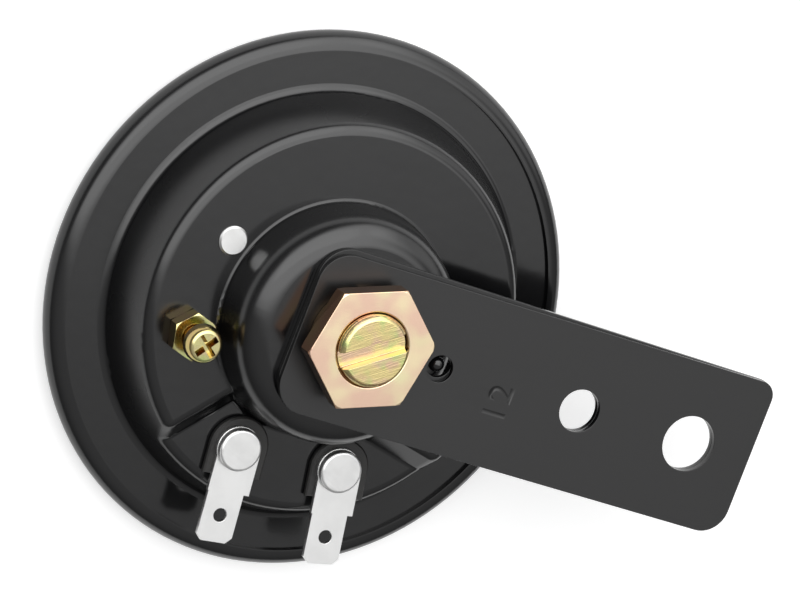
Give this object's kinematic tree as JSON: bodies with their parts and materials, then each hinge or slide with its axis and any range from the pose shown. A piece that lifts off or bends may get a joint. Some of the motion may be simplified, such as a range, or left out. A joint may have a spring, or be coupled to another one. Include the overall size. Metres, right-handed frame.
{
  "type": "car horn",
  "caption": "Electric disc horn: pressed steel housing with a rolled rim, diaphragm, armature and coil inside, adjusting screw, spade terminals and a leaf bracket clamped on its stud.",
  "frame": {"origin": "on the horn's axis, in the plane of the front bead that it rests on", "axes": "+Z along the horn's axis towards the stud and nut at its back, +X along the bracket"},
  "size_m": [0.1203, 0.09, 0.033],
  "materials": {
    "black_paint": "gloss black stoved enamel",
    "bracket_paint": "semi-gloss black enamel",
    "yellow_zinc": "yellow passivated zinc plate",
    "screw_zinc": "yellow passivated zinc plate",
    "tinned_steel": "bright tin plate",
    "rivet_metal": "bright",
    "insulator_board": "matt phenolic board",
    "gasket_board": "matt fibre board",
    "spring_steel": "satin",
    "bare_steel": "turned, lightly oiled",
    "bobbin_plastic": "moulded nylon",
    "enamelled_copper": "enamelled wire",
    "contact_metal": "satin"
  },
  "bodies": {
    "horn": {"housing": "black_paint", "front_ring": "black_paint", "front_gasket": "gasket_board", "back_gasket": "gasket_board", "diaphragm": "spring_steel", "pole_stud": "yellow_zinc", "coil_bobbin": "bobbin_plastic", "coil_winding": "enamelled_copper", "bracket_outer_leaf": "bracket_paint", "bracket_inner_leaf": "bracket_paint", "spring_washer": "yellow_zinc", "stud_nut": "yellow_zinc", "adjusting_screw": "screw_zinc", "adjusting_lock_nut": "screw_zinc", "breaker_rivet": "rivet_metal", "breaker_upper_insulator": "insulator_board", "breaker_spacer": "insulator_board", "breaker_lower_insulator": "insulator_board", "fixed_contact_arm": "contact_metal", "moving_contact_arm": "contact_metal", "fixed_contact": "contact_metal", "moving_contact": "contact_metal", "terminal_tab_1": "tinned_steel", "terminal_insulator_1": "insulator_board", "terminal_rivet_1": "rivet_metal", "terminal_washer_1": "insulator_board", "terminal_lug_1": "tinned_steel", "terminal_tab_2": "tinned_steel", "terminal_insulator_2": "insulator_board", "terminal_rivet_2": "rivet_metal", "terminal_washer_2": "insulator_board", "terminal_lug_2": "tinned_steel"},
    "armature": {"armature": "bare_steel", "push_washer": "insulator_board", "tone_disc_spacer": "bare_steel", "tone_disc": "black_paint"}
  },
  "joints": [
    {"name": "armature_stroke", "type": "slide", "parent": "horn", "child": "armature", "axis": [0, 0, 1], "range_m": [0, 0.0005], "stiffness_N_per_m": 2000, "deforming": ["diaphragm", "moving_contact_arm"]}
  ]
}
